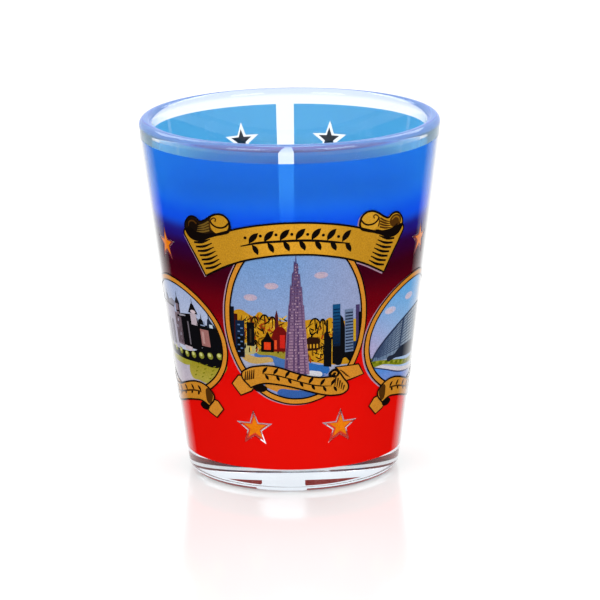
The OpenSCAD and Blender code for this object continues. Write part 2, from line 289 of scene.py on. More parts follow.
def printed(name, roughness=0.28, back=None):
    """Fired-on ink: the colour it is painted with, broken up by a fine grain and a slower unevenness.

    back is the colour of its inner side, where that shows through bare glass. A dark back is painted shade,
    for the inner side that the lamps don't reach.
    """
    material, nodes, links, shader = new_material(name)
    paint = nodes.new("ShaderNodeAttribute")
    paint.attribute_name = "ink"
    place = nodes.new("ShaderNodeTexCoord")
    colour = paint.outputs["Color"]
    for scale, middle, reach in ((FINE_GRAIN, INK_DEPTH, GRAIN), (SLOW_GRAIN, 1, GRAIN / 4)):
        noise = shader_node(nodes, "TexNoise", Scale=scale, Detail=2.0)
        level = shader_node(nodes, "MapRange", From_Min=0.3, From_Max=0.7,
                            To_Min=middle - reach, To_Max=middle + reach)
        links.new(place.outputs["Object"], noise.inputs["Vector"])
        links.new(noise.outputs["Fac"], level.inputs["Value"])
        colour = vector_step(nodes, links, "MULTIPLY", colour, level.outputs["Result"]).outputs[0]
    if back:
        colour = mix_colours(nodes, links, outer_side(nodes, links), back, colour)
    links.new(colour, shader.inputs["Base Color"])
    shader.inputs["Roughness"].default_value = roughness
    glaze(nodes, links, shader, shader.outputs[0])
    return material


# ---------------------------------------------------------------- making meshes

WELD = 0.0005  # points nearer than this, in mm, are one point


def finish(bm, name, material, slot, *nodes, sharp=30):
    """Makes the piece from a bmesh in mm, and lets it ride on the body and stand for its CAD nodes.

    sharp is the angle in degrees past which an edge isn't smoothed.
    """
    bmesh.ops.scale(bm, vec=(MM, MM, MM), verts=bm.verts[:])
    mesh = bpy.data.meshes.new(name)
    bm.to_mesh(mesh)
    bm.free()
    mesh.polygons.foreach_set("use_smooth", [True] * len(mesh.polygons))
    mesh.set_sharp_from_angle(angle=math.radians(sharp))
    mesh.materials.append(material)
    piece = bpy.data.objects.new(name, mesh)
    bpy.context.scene.collection.objects.link(piece)
    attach(piece, BODY)
    if nodes:
        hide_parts(*nodes)
    return piece


def arc(centre, radius, start, end, steps):
    """Points on an arc, as (distance from the axis, height). Angles are in degrees from outwards."""
    angles = [math.radians(start + (end - start) * i / steps) for i in range(steps + 1)]
    return [(centre[0] + radius * math.cos(a), centre[1] + radius * math.sin(a)) for a in angles]


# ---------------------------------------------------------------- the pressed glass

LIP_R = 1.1
HEEL_R = 1.8
BASE_T = 9.5
INNER_SLOPE = 8.0  # degrees from upright
FLOOR_ROUND = 4.0  # radius where the inner wall meets the floor
PUNT_R = 12.0  # the shallow hollow underneath
PUNT_D = 0.45


def glass_outline():
    """Half the glass's section, from under its middle, round the lip, to the middle of its floor."""
    slope = math.degrees(SLOPE)
    heel = (wall_r(HEEL_R) - HEEL_R / math.cos(SLOPE), HEEL_R)
    lip = (wall_r(GLASS_H - LIP_R) - LIP_R / math.cos(SLOPE), GLASS_H - LIP_R)
    inner = math.radians(INNER_SLOPE)
    lip_in = (lip[0] - LIP_R * math.cos(inner), lip[1] + LIP_R * math.sin(inner))
    corner_z = BASE_T + FLOOR_ROUND
    corner_r = lip_in[0] - (lip_in[1] - corner_z) * math.tan(inner) - FLOOR_ROUND / math.cos(inner)
    corner = (corner_r, corner_z)
    sphere = (PUNT_R ** 2 + PUNT_D ** 2) / (2 * PUNT_D)
    edge = math.degrees(math.asin(PUNT_R / sphere))
    return (arc((0, PUNT_D - sphere), sphere, 90, 90 - edge, 8)
            + arc(heel, HEEL_R, -90, -slope, 10)
            + arc(lip, LIP_R, -slope, 180 - INNER_SLOPE, 20)
            + arc(corner, FLOOR_ROUND, -INNER_SLOPE, -90, 12)
            + [(0, BASE_T)])


def glass_body():
    """The pressed glass, turned from its section."""
    bm = bmesh.new()
    points = [bm.verts.new((r, 0, z)) for r, z in glass_outline()]
    wire = [bm.edges.new(pair) for pair in zip(points, points[1:])]
    bmesh.ops.spin(bm, geom=points + wire, cent=(0, 0, 0), axis=(0, 0, 1), dvec=(0, 0, 0),
                   angle=math.tau, steps=256, use_merge=True)
    bmesh.ops.remove_doubles(bm, verts=bm.verts[:], dist=WELD)
    bmesh.ops.recalc_face_normals(bm, faces=bm.faces[:])
    return finish(bm, "pressed_glass", clear_glass(), "clear_glass", "glass_body", sharp=40)


# ---------------------------------------------------------------- flat designs

PLATE = 0.016  # thickness of a patch
LEVEL = 0.004  # from one level of patches to the next
STROKE_RISE = 0.010  # a stroke lies over the patches of its level
CUT_X = 0.6  # the widest step that stays flat round the wall
CUT_Z = 4.0


class Ink:
    """Patches and strokes of ink on one flat design, gathered in one mesh and then bent round the wall.

    base is how far the lowest patch lies off the wall. A level is a small step up from it, so that a patch
    which is painted over another one covers it. flip turns the design left to right.
    """

    def __init__(self, base, flip=False):
        self.bm = bmesh.new()
        self.kind = self.bm.faces.layers.int.new("kind")
        self.colours = []
        self.base = base
        self.flip = flip

    def take(self, curve, low, thick, colour):
        """Adds a flat curve's mesh, from depth low. colour is a value, or a function of (x, z)."""
        holder = bpy.data.objects.new("design", curve)
        bpy.context.scene.collection.objects.link(holder)
        bpy.context.view_layer.update()
        solved = holder.evaluated_get(bpy.context.evaluated_depsgraph_get())
        mesh = bpy.data.meshes.new_from_object(solved)
        bpy.data.objects.remove(holder)
        bpy.data.curves.remove(curve)
        part = bmesh.new()
        part.from_mesh(mesh)
        bmesh.ops.remove_doubles(part, verts=part.verts[:], dist=WELD)
        floor = min(v.co.z for v in part.verts)
        height = max(v.co.z for v in part.verts) - floor
        side = -1 if self.flip else 1
        bmesh.ops.translate(part, verts=part.verts[:], vec=(0, 0, -floor))
        bmesh.ops.scale(part, verts=part.verts[:], vec=(side, 1, thick / height))
        bmesh.ops.translate(part, verts=part.verts[:], vec=(0, 0, low))
        bmesh.ops.recalc_face_normals(part, faces=part.faces[:])
        if part.calc_volume(signed=True) < 0:
            bmesh.ops.reverse_faces(part, faces=part.faces[:])
        part.to_mesh(mesh)
        part.free()
        before = len(self.bm.faces)
        self.bm.from_mesh(mesh)
        bpy.data.meshes.remove(mesh)
        self.bm.faces.ensure_lookup_table()
        for face in self.bm.faces[before:]:
            face[self.kind] = len(self.colours)
        self.colours.append(colour)

    def curve(self, outlines, closed):
        """A curve through each outline's points. A point with a third value is a sharp corner."""
        curve = bpy.data.curves.new("design", "CURVE")
        curve.resolution_u = 6
        for outline in outlines:
            spline = curve.splines.new("BEZIER")
            spline.bezier_points.add(len(outline) - 1)
            spline.use_cyclic_u = closed
            for knot, point in zip(spline.bezier_points, outline):
                knot.co = (point[0], point[1], 0)
                handle = "VECTOR" if len(point) > 2 else "AUTO"
                knot.handle_left_type = knot.handle_right_type = handle
        return curve

    def fill(self, colour, *outlines, level=0, thick=PLATE):
        """A patch inside the first outline. Outlines inside it are holes."""
        curve = self.curve(outlines, True)
        curve.dimensions = "2D"
        curve.fill_mode = "BOTH"
        curve.extrude = thick / 2
        self.take(curve, self.base + level * LEVEL, thick, colour)

    def stroke(self, colour, points, width, level=0, closed=False, ends=1.0, start=1.0):
        """A line of ink. start and ends are the share of its width at its first and last point."""
        curve = self.curve([points], closed)
        curve.dimensions = "3D"
        curve.twist_mode = "Z_UP"
        curve.bevel_depth = width / 2
        curve.bevel_resolution = 1
        curve.use_fill_caps = True
        knots = curve.splines[0].bezier_points
        knots[0].radius *= start
        knots[-1].radius *= ends
        self.take(curve, self.base + level * LEVEL + STROKE_RISE, PLATE * 0.9, colour)

    def box(self, colour, x, wide, low, high, level=0):
        """An upright rectangle from its left edge x."""
        edge = corners((x, low), (x + wide, low), (x + wide, high), (x, high))
        self.fill(colour, edge, level=level)

    def blob(self, colour, x, z, wide, high, level=0):
        """An oval patch about its middle."""
        self.fill(colour, oval(wide / 2, high / 2, x, z, 8), level=level)

    def bend(self, turn=0.0, step=CUT_X, by_angle=False):
        """Cuts the flat design fine enough, colours it, and bends it round the wall at an angle.

        A design that is drawn by_angle has degrees for its x.
        """
        bm = self.bm
        for axis, size in ((0, step), (1, CUT_Z)):
            low = min(v.co[axis] for v in bm.verts)
            high = max(v.co[axis] for v in bm.verts)
            for i in range(math.floor(low / size) + 1, math.ceil(high / size)):
                place, normal = Vector((0, 0, 0)), Vector((0, 0, 0))
                place[axis], normal[axis] = i * size, 1
                bmesh.ops.bisect_plane(bm, geom=bm.verts[:] + bm.edges[:] + bm.faces[:], dist=1e-5,
                                       plane_co=place, plane_no=normal)
        layer = bm.loops.layers.float_color.new("ink")
        for face in bm.faces:
            colour = self.colours[face[self.kind]]
            for loop in face.loops:
                x, z, _ = loop.vert.co
                loop[layer] = colour(-x if self.flip else x, z) if callable(colour) else colour
        bm.faces.layers.int.remove(self.kind)
        for v in bm.verts:
            x, height, depth = v.co
            angle = math.radians(turn + x) if by_angle else math.radians(turn) + x / wall_r(height)
            radius = wall_r(height) + depth / math.cos(SLOPE)
            v.co = (radius * math.sin(angle), -radius * math.cos(angle), height)
        return bm


def corners(*points):
    """The points, each marked as a sharp corner."""
    return [(x, z, True) for x, z in points]


def oval(half_w, half_h, x, z, points=24):
    """An oval's points about (x, z)."""
    turns = [math.tau * i / points for i in range(points)]
    return [(x + half_w * math.cos(a), z + half_h * math.sin(a)) for a in turns]


def mirrored(points):
    """The same outline on the other side of the design's middle, in the opposite order."""
    return [(-p[0], *p[1:]) for p in reversed(points)]


def shifted(points, x, z):
    """The same outline, moved."""
    return [(p[0] + x, p[1] + z, *p[2:]) for p in points]


def between(a, b, i, count):
    """Point number i of count, evenly spaced from a to b."""
    share = i / (count - 1)
    return tuple(p + (q - p) * share for p, q in zip(a, b))


def spread(half, count):
    """Places that are evenly spaced from -half to half."""
    return [half * (2 * i / (count - 1) - 1) for i in range(count)]


def blend(share, first, second):
    """The colour at a share of the way from one to another. It stays as it is past either end."""
    share = min(max(share, 0), 1)
    return tuple(a + (b - a) * share for a, b in zip(first, second))


def fade(low, low_colour, high, high_colour):
    """A colour that goes from one to another with height."""
    def colour(x, z):
        return blend((z - low) / (high - low), low_colour, high_colour)
    return colour


STAR_WAIST = 0.4  # the inner corners' share of the radius


def star_outline(x, z, radius, stretch=1.0):
    """A five-pointed star. stretch is how much of x one millimetre takes."""
    tips = [(radius if i % 2 == 0 else STAR_WAIST * radius, math.radians(36 * i)) for i in range(10)]
    return corners(*[(x + r * math.sin(a) * stretch, z + r * math.cos(a)) for r, a in tips])


# ---------------------------------------------------------------- the blended film

# Each star's angle from the front in degrees, and its height
STARS = {
    "front_left": (-21.7, 11.3), "front_right": (21.7, 11.3), "side_left": (-STEP_DEG, 40.7),
    "side_right": (STEP_DEG, 40.7), "back_left": (-161.0, 51.0), "back_right": (161.0, 51.0)}
WINDOW_R = 3.3  # radius of the bare glass round a star
STAR_R = 2.0
FRONT_WINDOW_LIGHT = (ink(240, 66, 46), 2.65)  # painted light: the colour and radius of the red star painted in a window, for the lit red film seen through it
SIDE_WINDOW_LIGHT = (ink(140, 62, 66), 3.0)
# The painted light in each star's window, where it has one
WINDOW_PAINTED_LIGHT = {
    "front_left": FRONT_WINDOW_LIGHT, "front_right": FRONT_WINDOW_LIGHT, "side_left": SIDE_WINDOW_LIGHT, "side_right": SIDE_WINDOW_LIGHT}
FILM_LOW = -0.02  # the film bites into the glass, so no gap shows behind it
FILM_T = 0.07
STAR_T = 0.06
WINDOW_LIGHT_T = 0.03


def background_print():
    """The blended film, with its seam at the back and a star-shaped window for each star."""
    film = Ink(FILM_LOW)
    half = 180 - SEAM_DEG / 2
    sheet = corners((-half, PRINT_LOW), (half, PRINT_LOW), (half, PRINT_HIGH), (-half, PRINT_HIGH))
    stars = [star_outline(turn, z, WINDOW_R, math.degrees(1 / wall_r(z))) for turn, z in STARS.values()]
    film.fill((1, 1, 1, 1), sheet, *stars, thick=FILM_T)
    return finish(film.bend(step=1.5, by_angle=True), "blended_film", background_ink(), "background_ink",
                  "background_print")


# ---------------------------------------------------------------- colours of the print

GOLD = ink(208, 150, 36)
BRIGHT_GOLD = ink(226, 166, 46)
ORANGE_GOLD = ink(226, 148, 48)
RIBBON_GOLD = ink(218, 146, 44)
DARK_GOLD = ink(160, 108, 22)
BROWN = ink(84, 50, 12)
BLACK = ink(16, 9, 7)
STAR_GOLD = ink(255, 138, 14)
UNDER = ink(196, 158, 180)

# How far off the wall each sort of patch starts
UNDER_LOW = 0.040
PICTURE_LOW = 0.055
FRAME_LOW = 0.125
TAIL_LOW = 0.145
BAND_LOW = 0.165
TOP_LOW = 0.185


# ---------------------------------------------------------------- the stars


def star(key):
    """One gold star, over the painted light in its window where it has one: a red star for the lit film
    seen through the bare glass.
    """
    turn, z = STARS[key]
    art = Ink(FILM_LOW)
    if key in WINDOW_PAINTED_LIGHT:
        # Painted light: a red star in the window, for the lit red film seen through it
        tint, radius = WINDOW_PAINTED_LIGHT[key]
        art.fill(tint, star_outline(0, z, radius), thick=WINDOW_LIGHT_T)
    art.fill(STAR_GOLD, star_outline(0.1, z + 0.1, STAR_R), thick=STAR_T)
    return finish(art.bend(turn), key + "_gold_star", INKS["star_gold_ink"], "star_gold_ink",
                  key + "_star")


# ---------------------------------------------------------------- the banner

BANNER_TOP, BANNER_TOP_ARC = 47.1, 37  # height of its upper edge in the middle, and that edge's radius
BANNER_LOW, BANNER_LOW_ARC = 41.7, 29
BANNER_HALF = 15.6  # half the length of the lower edge
BANNER_SHOULDER = 13.2  # half the length of the upper edge


def arch(top, radius, x):
    """Height at x of an arch with its top in the middle."""
    return top - radius + math.sqrt(radius * radius - x * x)


def banner_outline():
    """The banner's two arched edges and its two ends."""
    end = [(15.4, 44.0), (18.4, 44.6), (20.1, 44.4), (19.2, 42.4), (17.8, 40.5)]
    top_edge = [(x, arch(BANNER_TOP, BANNER_TOP_ARC, x)) for x in spread(BANNER_SHOULDER, 7)]
    low_edge = [(x, arch(BANNER_LOW, BANNER_LOW_ARC, x)) for x in spread(-BANNER_HALF, 7)]
    for corner in (0, -1):
        low_edge[corner] += (True,)
    return top_edge + end + low_edge + mirrored(end)


def banner_band():
    """The banner's gold, brightest in its middle."""
    def gold(x, z):
        return blend((abs(x) - 4) / 5, ink(236, 170, 46), GOLD)
    art = Ink(BAND_LOW)
    art.fill(gold, banner_outline())
    return finish(art.bend(), "banner_gold", INKS["gold_ink"], "gold_ink", "banner_band")


# The right roll, the end of the sheet in it, and the shade under it. The left roll is their mirror image.
CURL = [
    (11.0, 45.3), (10.9, 46.8), (11.7, 47.8), (12.9, 48.05), (14.2, 47.6), (15.6, 46.7), (16.5, 46.4),
    (17.3, 46.9), (18.4, 47.0), (19.4, 46.3), (19.9, 45.2), (19.4, 44.0), (18.2, 43.2), (16.6, 43.2),
    (15.0, 43.8), (13.4, 44.4), (12.0, 44.8)]
CURL_FACE = oval(1.75, 1.65, 12.8, 46.35, 8)
CURL_SHADOW = [
    (13.6, 44.5), (15.4, 44.4), (17.2, 44.5), (19.2, 45.0), (19.5, 44.0), (18.2, 43.1), (16.4, 43.0),
    (14.8, 43.7)]


def curl(side):
    """One rolled end of the banner. The left one is mostly in shade."""
    right = side == "right"
    art = Ink(TOP_LOW, flip=not right)
    art.fill(GOLD if right else ink(38, 24, 10), CURL)
    art.fill(BRIGHT_GOLD if right else GOLD, CURL_FACE, level=1)
    art.fill(BLACK, CURL_SHADOW, level=2)
    art.blob(BROWN if right else ink(24, 14, 8), 18.1, 45.6, 2.7, 2.2, level=2)
    shade = BROWN if right else ink(122, 92, 34)
    for i in range(4):
        start = between((14.7, 46.6), (14.6, 45.1), i, 4)
        end = between((16.9, 45.6), (17.2, 44.6), i, 4)
        middle = ((start[0] + end[0]) / 2, (start[1] + end[1]) / 2 - 0.15)
        art.stroke(shade, [start, middle, end], 0.3, level=3, ends=0.3)
    art.stroke(BLACK, CURL, 0.34, level=3, closed=True)
    lip = [(11.0, 46.7), (11.7, 46.0), (12.8, 45.75), (13.9, 46.1), (14.5, 46.8)]
    art.stroke(BLACK, lip, 0.3, level=3)
    hook = [(14.3, 45.2), (14.5, 46.2), (14.0, 47.2), (13.4, 47.2), (13.5, 46.7)]
    art.stroke(BROWN, hook, 0.24, level=3)
    tip = [(17.2, 45.9), (18.0, 46.3), (18.9, 45.9), (19.0, 45.2)]
    art.stroke(DARK_GOLD if right else BROWN, tip, 0.26, level=4, ends=0.4)
    return finish(art.bend(), side + "_roll", INKS["gold_ink"], "gold_ink", f"banner_{side}_curl")


def banner_hatching():
    """Seven shading strokes at each end of the banner."""
    art = Ink(TOP_LOW)
    for side in (-1, 1):
        for i in range(7):
            outer = between((15.6, 38.4), (17.9, 42.6), i, 7)
            inner = between((12.5, 39.7), (14.5, 43.6), i, 7)
            middle = ((outer[0] + inner[0]) / 2, (outer[1] + inner[1]) / 2 - 0.25)
            line = [(side * x, z) for x, z in (outer, middle, inner)]
            art.stroke(BLACK, line, 0.44, ends=0.35, start=0.7)
    return finish(art.bend(), "banner_strokes", INKS["black_ink"], "black_ink", "banner_hatching")


def leaf(x, z, length, width, angle):
    """A brushed leaf's outline, from its foot at (x, z)."""
    turn = math.radians(angle)
    shape = [(0, 0), (0.35, 0.5), (0.75, 0.42), (1, 0), (0.55, -0.3)]
    points = [(x + (a * length * math.cos(turn) - b * width * math.sin(turn)),
               z + (a * length * math.sin(turn) + b * width * math.cos(turn))) for a, b in shape]
    return [(*p, True) if i in (0, 3) else p for i, p in enumerate(points)]


def leaf_spray():
    """Brushed leaves on a stem, where a title would stand."""
    art = Ink(TOP_LOW)
    stem = [(x, arch(BANNER_TOP - 3.0, BANNER_TOP_ARC, x) + 0.15 * math.sin(x)) for x in range(-9, 10, 3)]
    art.stroke(BLACK, stem, 0.4, start=0.4, ends=0.3)
    for x in spread(7.6, 7):
        foot = arch(BANNER_TOP - 2.9, BANNER_TOP_ARC, x)
        art.fill(BLACK, leaf(x, foot, 2.5, 1.15, 50), level=1)
        art.fill(BLACK, leaf(x + 0.5, foot - 0.1, 2.0, 1.0, -60), level=1)
        art.blob(BLACK, x - 0.6, foot + 1.0, 0.5, 0.5, level=1)
    return finish(art.bend(), "leaf_spray", INKS["black_ink"], "black_ink", "banner_leaf_spray")


def banner_lines():
    """The banner's key line, and the pale underprint that shows past its lower left edges."""
    art = Ink(TOP_LOW)
    art.stroke(BLACK, banner_outline(), 0.32, closed=True)
    finish(art.bend(), "banner_lines", INKS["black_ink"], "black_ink")
    under = Ink(UNDER_LOW)
    under.fill(UNDER, shifted(banner_outline(), -0.3, -0.3))
    for points in (CURL, mirrored(CURL)):
        under.fill(UNDER, shifted(points, -0.35, -0.1), level=1)
    finish(under.bend(), "banner_underprint", INKS["picture_ink"], "picture_ink")


# ---------------------------------------------------------------- medallions

# Each medallion's half width, half height and the height of its middle
MAIN = {"half_w": 12.2, "half_h": 15.3, "z": 31.0}
SIDE = {"half_w": 12.3, "half_h": 10.2, "z": 25.2}
FRAME_LINE = 1.2  # width of the oval frame


def ring(size, inset):
    """A medallion's oval, drawn in by an inset."""
    return oval(size["half_w"] - inset, size["half_h"] - inset, 0, size["z"])


def frame_ring(prefix, turn, size):
    """The gold oval frame, its two key lines, and the pale underprint that shows past its left edge."""
    art = Ink(FRAME_LOW)
    art.fill(ORANGE_GOLD, ring(size, 0.1), ring(size, FRAME_LINE - 0.1))
    finish(art.bend(turn), prefix + "_ring", INKS["gold_ink"], "gold_ink", prefix + "_frame")
    lines = Ink(FRAME_LOW)
    lines.fill(BLACK, ring(size, 0), ring(size, 0.24), level=1)
    lines.fill(BLACK, ring(size, FRAME_LINE - 0.26), ring(size, FRAME_LINE), level=1)
    finish(lines.bend(turn), prefix + "_ring_lines", INKS["black_ink"], "black_ink")
    under = Ink(UNDER_LOW)
    under.fill(UNDER, shifted(ring(size, 0), -0.28, -0.1))
    finish(under.bend(turn), prefix + "_underprint", INKS["picture_ink"], "picture_ink")


# The ribbons' outlines, about the middle of their medallion
MAIN_BAND = [
    (-9.2, 20.8), (-8.2, 21.8), (-6.2, 22.4), (-4.3, 22.5), (-2.4, 22.1), (-0.5, 21.4), (1.4, 20.8),
    (3.2, 20.4), (5.0, 20.3), (6.2, 20.5), (6.5, 21.8, True), (7.7, 20.0), (8.7, 18.1), (8.1, 17.3),
    (6.1, 17.0), (4.2, 17.3), (2.3, 17.9), (0.4, 18.5), (-1.5, 19.0), (-3.3, 19.3), (-5.2, 19.4),
    (-6.6, 19.0), (-7.6, 18.5, True)]
MAIN_TAILS = [
    corners((-11.0, 18.9), (-9.8, 20.5), (-8.5, 20.5), (-6.8, 18.9), (-7.5, 17.9), (-9.4, 17.0)),
    corners((6.4, 21.9), (10.6, 21.9), (11.6, 20.0), (8.9, 19.4), (7.0, 19.0))]
SIDE_BAND = [
    (-8.0, 15.9), (-7.4, 17.0), (-6.2, 17.7), (-4.4, 17.9), (-2.6, 17.6), (-0.3, 16.9), (2.5, 16.0),
    (5.0, 15.7), (7.2, 16.3), (8.0, 14.6), (7.4, 13.2), (5.2, 12.6), (2.5, 13.1), (-0.3, 13.9),
    (-3.0, 14.5), (-4.9, 14.7), (-6.6, 14.1, True)]
SIDE_TAILS = [
    corners((-9.6, 14.0), (-8.7, 15.3), (-7.2, 15.6), (-5.4, 14.0), (-6.4, 13.0), (-7.9, 12.3)),
    corners((6.8, 15.8), (8.9, 16.6), (10.2, 15.6), (9.8, 13.8), (8.4, 13.6), (6.8, 13.8))]


def ribbon(prefix, turn, flip, band, tails, fold, far_fold):
    """A name ribbon: folded tails behind, the band in front, and its lines. It turns under at two folds."""
    art = Ink(TAIL_LOW, flip)
    for tail in tails:
        art.fill(ORANGE_GOLD, tail)
    finish(art.bend(turn), prefix + "_folded_tails", INKS["gold_ink"], "gold_ink", prefix + "_ribbon_tails")
    art = Ink(BAND_LOW, flip)
    art.fill(RIBBON_GOLD, band)
    finish(art.bend(turn), prefix + "_ribbon_band", INKS["gold_ink"], "gold_ink", prefix + "_ribbon")
    lines = Ink(TAIL_LOW, flip)
    for tail in tails:
        lines.stroke(BLACK, tail, 0.26, closed=True)
    x, z = fold
    lines.blob(BLACK, x + 1.6, z - 0.5, 2.3, 1.3, level=2)
    x, z = far_fold
    lines.base = TOP_LOW  # from here on the lines lie over the band
    turned = [(-1.0, 0), (-0.4, 0.9), (0.5, 1.1, True), (0.9, 0.2), (0.3, -0.5), (-0.4, -0.4)]
    lines.fill(BLACK, shifted(turned, x, z))
    edge = [(-0.5, 0.1), (-0.1, 0.5), (0.4, 0.3), (0.2, -0.1)]
    lines.stroke(RIBBON_GOLD, shifted(edge, x, z), 0.2, level=1)
    for i in range(4):
        shade = [(1.0 + 0.3 * i, 0.7 - 0.3 * i), (1.9 + 0.3 * i, 0.1 - 0.3 * i)]
        lines.stroke(BROWN, shifted(shade, x, z), 0.18, level=1, ends=0.4)
    lines.stroke(BLACK, band, 0.28, closed=True)
    finish(lines.bend(turn), prefix + "_ribbon_lines", INKS["black_ink"], "black_ink")


def main_ribbon_marks():
    """Shading at the ribbon's two folds, and a small leafy flourish where a name would stand."""
    art = Ink(TOP_LOW)
    shade = ink(66, 34, 10)
    for i in range(5):
        x = -8.6 + 0.36 * i
        art.stroke(shade, [(x, 19.7 + 0.1 * i), (x + 0.15, 21.3 + 0.12 * i)], 0.28, ends=0.5)
        x = 6.5 + 0.36 * i
        art.stroke(shade, [(x, 20.4 - 0.45 * i), (x - 0.25, 18.6 - 0.22 * i)], 0.28, ends=0.5)
    wave = [(x, 19.9 - 1.2 * math.sin(math.pi * x / 11.2)) for x in (-5.6, -3.8, -1.9, 0, 1.9, 3.8, 5.6)]
    art.stroke(BLACK, wave, 0.2, start=0.5, ends=0.4)
    for i, (x, z) in enumerate(wave):
        art.fill(BLACK, leaf(x, z, 1.5, 0.6, 55), level=1)
        art.fill(BLACK, leaf(x + 0.4, z - 0.1, 1.15, 0.55, -60), level=1)
    finish(art.bend(), "main_flourish", INKS["black_ink"], "black_ink", "main_ribbon_marks")


def side_flourish(prefix, turn, flip):
    """A leafy stem and the shade of the fold on a side ribbon."""
    art = Ink(TOP_LOW, flip)
    stem = [(-5.0, 16.3), (-3.0, 16.1), (-0.6, 15.5), (1.8, 14.8), (4.2, 14.3)]
    art.stroke(BROWN, stem, 0.28, ends=0.4)
    for x, z in stem:
        art.fill(BLACK, leaf(x, z, 1.2, 0.6, 50), level=1)
        art.fill(BLACK, leaf(x + 0.4, z, 1.0, 0.55, -55), level=1)
    art.fill(BROWN, [(-7.6, 16.7), (-6.6, 17.2), (-6.1, 16.0), (-6.6, 14.5), (-7.4, 15.2)], level=1)
    finish(art.bend(turn), prefix + "_flourish", INKS["black_ink"], "black_ink")


# ---------------------------------------------------------------- the middle picture

YELLOW = ink(208, 150, 28)
SAND = ink(208, 170, 100)
NAVY = ink(18, 34, 62)
NIGHT = ink(13, 13, 17)


# Water, sand and paving in front of the town, as (level, colour, outline)
GROUND_PATCHES = [
    (2, ink(150, 162, 214), [(-7.4, 19.6), (0, 20.2), (7.4, 19.6), (4.6, 17.3), (0, 16.4), (-4.6, 17.3)]),
    (2, ink(74, 118, 184), [(-7, 24.5), (-4, 24.3), (-1.6, 23.7), (-1.4, 22), (-3.4, 22.2), (-3.8, 23.2)]),
    (3, SAND, [(-9, 23.9), (-6.5, 23.9), (-3.8, 23.4), (-4.5, 23.1), (-8.6, 23.2)]),
    (2, ink(48, 112, 192), [(1.4, 22.7), (3.4, 22.6), (5.4, 21.8), (4.6, 20.6), (1.4, 20.8)]),
    (3, ink(226, 226, 234), [(1.8, 21.4), (3, 21.5), (4.2, 20.9), (3.4, 20.3), (1.8, 20.5)]),
    (3, ink(218, 146, 52), [(-5.2, 19.4), (-1.5, 19.2), (0.4, 18.4), (-1.4, 17.9), (-3.6, 18.1)]),
    (4, ink(58, 102, 178), [(-3.2, 18), (-0.6, 18.3), (1.4, 18), (3.6, 17.2), (0, 16.6), (-2.4, 17.1)])]


def main_panel():
    """The middle picture's sky, clouds, water and sand."""
    def sky(x, z):
        left = blend((40 - z) / 12, ink(126, 166, 220), ink(156, 174, 216))
        return blend(0.7 * min((x + 2) / 12, 1), left, ink(166, 172, 208))
    art = Ink(PICTURE_LOW)
    art.fill(sky, ring(MAIN, FRAME_LINE / 2))
    cloud = ink(196, 178, 202)
    for x, z in ((-4.0, 36.3), (-7.5, 34.2), (4.1, 38.0)):
        art.blob(cloud, x, z, 2.3, 1.1, level=1)
        art.blob(ink(206, 184, 200), x - 0.2, z - 0.15, 1.3, 0.8, level=2)
    ground = [
        (-9.9, 23.4), (-4, 23.1), (2, 22.6), (9.4, 21.8), (7.8, 19.8), (5, 17.4), (0, 16.4), (-5, 17.4),
        (-7.8, 19.8)]
    art.fill(ink(178, 182, 208), ground, level=1)
    for level, colour, patch in GROUND_PATCHES:
        art.fill(colour, patch, level=level)
    finish(art.bend(), "main_panel", INKS["picture_ink"], "picture_ink", "main_picture")


def windows(art, colour, x, wide, low, high, rows, level, share=0.5):
    """Rows of lit or dark floors across a building's face."""
    pitch = (high - low) / rows
    for i in range(rows):
        art.box(colour, x, wide, low + pitch * i, low + pitch * (i + share), level=level)


TOWN_INKS = (BLACK, BLACK, ink(74, 40, 8), ink(120, 78, 12), ink(166, 60, 16), ink(236, 190, 60))
# Domed roofs as (x, z, half width)
TOWN_ROOFS = ((-5.2, 30.6, 0.8), (-3.9, 30.3, 0.6), (3.0, 29.9, 0.9), (4.3, 29.7, 0.5), (-6.8, 30.2, 0.6))


